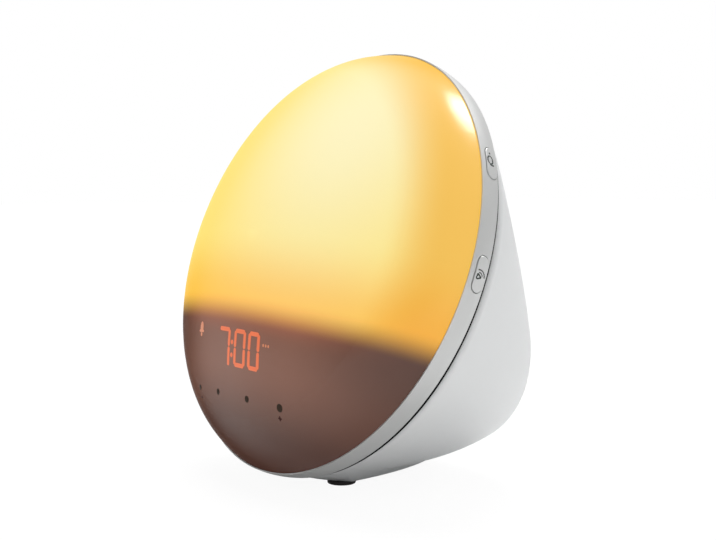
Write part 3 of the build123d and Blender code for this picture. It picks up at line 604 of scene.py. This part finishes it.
def arc(middle, radii, first, last, count):
    """Points on an ellipse round the middle, from the first to the last angle in degrees."""
    turns = [radians(first + (last - first) * i / count) for i in range(count + 1)]
    return [(middle[0] + radii[0] * cos(t), middle[1] + radii[1] * sin(t)) for t in turns]


def lamp_icon(mesh, place):
    """A lamp: an oval bulb, a bent foot below it and one ray above it."""
    stroke(mesh, place, arc((1.0, 0.5), (1.9, 1.2), 0, 360, 16), 0.74)
    stroke(mesh, place, [(-1.0, 0.9), (-1.5, -0.1), (-0.9, -1.1)], 0.7)
    disc(mesh, place, (4.2, 0.5), 0.42, INK_LIFT, INK_DEPTH, count=12, rings=1)


def speaker_icon(mesh, place):
    """A loudspeaker's outline with two sound waves, turned by 35 degrees."""
    heading = radians(-35)
    shift = -0.2

    def turned(points):
        moved = []
        for p, q in points:
            a = shift + p * cos(heading) - q * sin(heading)
            b = p * sin(heading) + q * cos(heading)
            moved.append((a, b))
        return moved

    upper_half = [(-2.1, 0.45), (-1.5, 0.45), (-0.5, 1.15)]
    lower_half = [(p, -q) for p, q in reversed(upper_half)]
    horn = [lower_half[-1]] + upper_half + lower_half
    stroke(mesh, place, turned(horn), 0.62)
    stroke(mesh, place, turned(arc((-0.9, 0), (1.5, 1.5), -48, 48, 6)), 0.5)
    stroke(mesh, place, turned(arc((-0.9, 0), (2.55, 2.55), -55, 55, 8)), 0.58)


ink = surface("printed_ink", (0.016, 0.022, 0.018), 0.5)
for name, angle in BUTTONS:
    draw_icon = lamp_icon if name.endswith("upper") else speaker_icon
    icon = bmesh.new()
    draw_icon(icon, icon_place(angle))
    made = new_mesh("icon_" + name, icon, ink)
    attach(made, "button_" + name)


# ------------------------------------------------------------------ stage, light and camera
# the share of plain white that the camera's rays see, and those mirrored by or seen through things
FLOOR_CAMERA, FLOOR_MIRRORED = 0.90, 0.12
SKY_CAMERA, SKY_MIRRORED = 1.0, 0.25
FLOOR_WHITE = 1.04  # makes up for the part of the floor that is only lit
FLOOR_HALF, FLOOR_DROP = 6.0, 0.0003  # metres; it lies a little below the feet
# the sky's light: between which directions it grows, and between which strengths
SKY_DEPTH = (-0.5, 0.8, 0.22, 0.57)  # from the front to the back
SKY_HEIGHT = (0.1, 0.9, 0.0, 0.31)  # from the horizon to overhead


def background_rays(tree, camera, mirrored):
    """The share of plain white for each ray: camera rays, and glossy and transmission rays."""
    path = tree.nodes.new("ShaderNodeLightPath")
    shares = {"Is Camera Ray": camera, "Is Glossy Ray": mirrored, "Is Transmission Ray": mirrored}
    total = None
    for kind, share in shares.items():
        scaled = tree.nodes.new("ShaderNodeMath")
        scaled.operation = "MULTIPLY_ADD"
        tree.links.new(path.outputs[kind], scaled.inputs[0])
        scaled.inputs[1].default_value = share
        scaled.inputs[2].default_value = 0.0
        if total is not None:
            tree.links.new(total, scaled.inputs[2])
        total = scaled.outputs[0]
    return total


def floor_material():
    """A pale floor that shows as white and keeps a faint shadow."""
    g = Graph("pale_floor")
    g.shader.inputs["Roughness"].default_value = 0.8
    g.shader.inputs["Specular IOR Level"].default_value = 0.1
    pale = g.mix(g.noise(60.0, detail=2.0), (0.85, 0.85, 0.85), (0.87, 0.87, 0.87))
    g.link(pale, g.shader.inputs["Base Color"])
    white = g.node("ShaderNodeEmission")
    white.inputs["Strength"].default_value = FLOOR_WHITE
    both = g.node("ShaderNodeMixShader")
    g.link(background_rays(g.tree, FLOOR_CAMERA, FLOOR_MIRRORED), both.inputs[0])
    g.link(g.shader.outputs[0], both.inputs[1])
    g.link(white.outputs[0], both.inputs[2])
    out = next(node for node in g.tree.nodes if node.type == "OUTPUT_MATERIAL")
    g.link(both.outputs[0], out.inputs["Surface"])
    return g.material


def studio_world():
    """White behind the object; as a light, dimmer in front and brighter overhead and at the back."""
    world = bpy.data.worlds.new("studio")
    world.use_nodes = True
    tree = world.node_tree
    tree.nodes.clear()

    def node(kind, **settings):
        made = tree.nodes.new(kind)
        for key, value in settings.items():
            setattr(made, key, value)
        return made

    def ranged(value, limits):
        made = node("ShaderNodeMapRange", interpolation_type="SMOOTHSTEP", clamp=True)
        tree.links.new(value, made.inputs[0])
        for spot, number in enumerate(limits, 1):
            made.inputs[spot].default_value = number
        return made.outputs[0]

    split = node("ShaderNodeSeparateXYZ")
    tree.links.new(node("ShaderNodeTexCoord").outputs["Generated"], split.inputs[0])
    level = node("ShaderNodeMath", operation="ADD")
    tree.links.new(ranged(split.outputs["Y"], SKY_DEPTH), level.inputs[0])
    tree.links.new(ranged(split.outputs["Z"], SKY_HEIGHT), level.inputs[1])
    light = node("ShaderNodeBackground")
    light.inputs["Color"].default_value = (1, 1, 1, 1)
    tree.links.new(level.outputs[0], light.inputs["Strength"])
    white = node("ShaderNodeBackground")
    white.inputs["Color"].default_value = (1, 1, 1, 1)
    both = node("ShaderNodeMixShader")
    tree.links.new(background_rays(tree, SKY_CAMERA, SKY_MIRRORED), both.inputs[0])
    tree.links.new(light.outputs[0], both.inputs[1])
    tree.links.new(white.outputs[0], both.inputs[2])
    tree.links.new(both.outputs[0], node("ShaderNodeOutputWorld").inputs["Surface"])
    return world


def soft_sun(name, toward, strength, spread, shine):
    """An even, soft light from one direction: either its shine or its light alone."""
    data = bpy.data.lights.new(name, "SUN")
    data.energy = strength
    data.angle = radians(spread)
    lamp = bpy.data.objects.new(name, data)
    lamp.location = Vector(toward)
    lamp.visible_diffuse = not shine
    lamp.visible_glossy = shine
    lamp.rotation_euler = Vector(toward).to_track_quat("Z", "Y").to_euler()
    scene.collection.objects.link(lamp)


floor = bmesh.new()
bmesh.ops.create_grid(floor, x_segments=12, y_segments=12, size=FLOOR_HALF)
ground = new_mesh("floor", floor, floor_material())
ground.location.z = -FLOOR_DROP

scene.view_settings.view_transform = "Standard"
scene.world = studio_world()
soft_sun("overhead_light", toward=(-0.28, 0.20, 0.94), strength=2.15, spread=40.0, shine=False)
soft_sun("overhead_shine", toward=(0.03, 0.50, 0.86), strength=2.3, spread=22.0, shine=True)

# the camera, as fitted to the picture: its angles, and its place in mm from the middle of the face
BEARING, RISE = radians(53.16), radians(4.12)
DISTANCE, STEP_RIGHT, STEP_DOWN = 550.0, 15.29, 5.47
FOCAL_PIXELS, PICTURE_PIXELS = exp(7.13), 716.0
SENSOR = 36.0  # mm
NEAREST = 0.01  # metres

to_camera = Vector((sin(BEARING) * cos(RISE), -cos(BEARING) * cos(RISE), sin(RISE)))
to_right = Vector((cos(BEARING), sin(BEARING), 0))
to_top = to_camera.cross(to_right)
eye = MIDDLE + to_camera * DISTANCE + to_right * STEP_RIGHT - to_top * STEP_DOWN
camera = bpy.data.objects.new("camera", bpy.data.cameras.new("camera"))
camera.data.sensor_width = SENSOR
camera.data.lens = SENSOR * FOCAL_PIXELS / PICTURE_PIXELS
camera.data.clip_start = NEAREST
axes = [(r, t, c, e * MM) for r, t, c, e in zip(to_right, to_top, to_camera, eye)]
camera.matrix_world = Matrix((*axes, (0, 0, 0, 1)))
scene.collection.objects.link(camera)
scene.camera = camera
